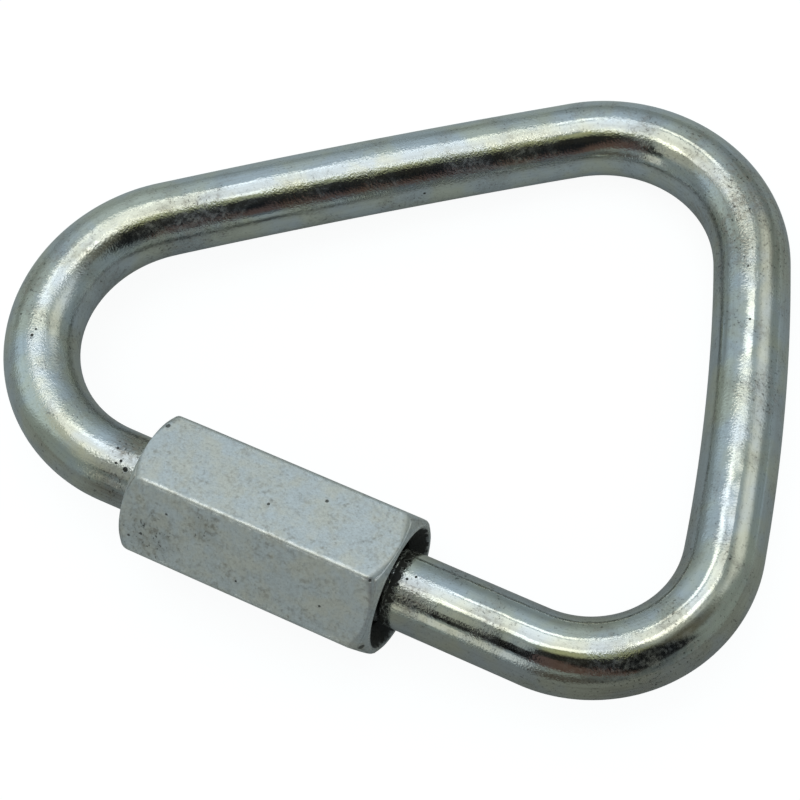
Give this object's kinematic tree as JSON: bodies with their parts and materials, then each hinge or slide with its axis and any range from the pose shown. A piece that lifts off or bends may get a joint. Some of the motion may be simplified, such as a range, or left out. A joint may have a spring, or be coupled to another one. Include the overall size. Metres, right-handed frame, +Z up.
{
  "type": "chain quick link",
  "caption": "Rounded-triangle link bent from steel rod, with a hexagonal sleeve nut that screws across the gap in one side to close it.",
  "frame": {"origin": "middle of the closed link's box, on the level ground that the link lies on", "axes": "+X along the nut's axis from the apex bend to the near bend, +Y from the nut's side to the far bend, +Z up"},
  "size_m": [0.0822, 0.068, 0.0154],
  "materials": {
    "zinc_rod": "bright zinc plate on cold-drawn rod, worn, with pits and a little dirt",
    "zinc_nut": "dull mottled zinc plate on a hexagonal bar, with dark specks"
  },
  "bodies": {
    "link": {"bent_rod": "zinc_rod"},
    "nut": {"sleeve_nut": "zinc_nut"}
  },
  "joints": [
    {"name": "nut_travel", "type": "slide", "parent": "link", "child": "nut", "axis": [1, 0, 0], "range_m": [0, 0.01125]}
  ]
}
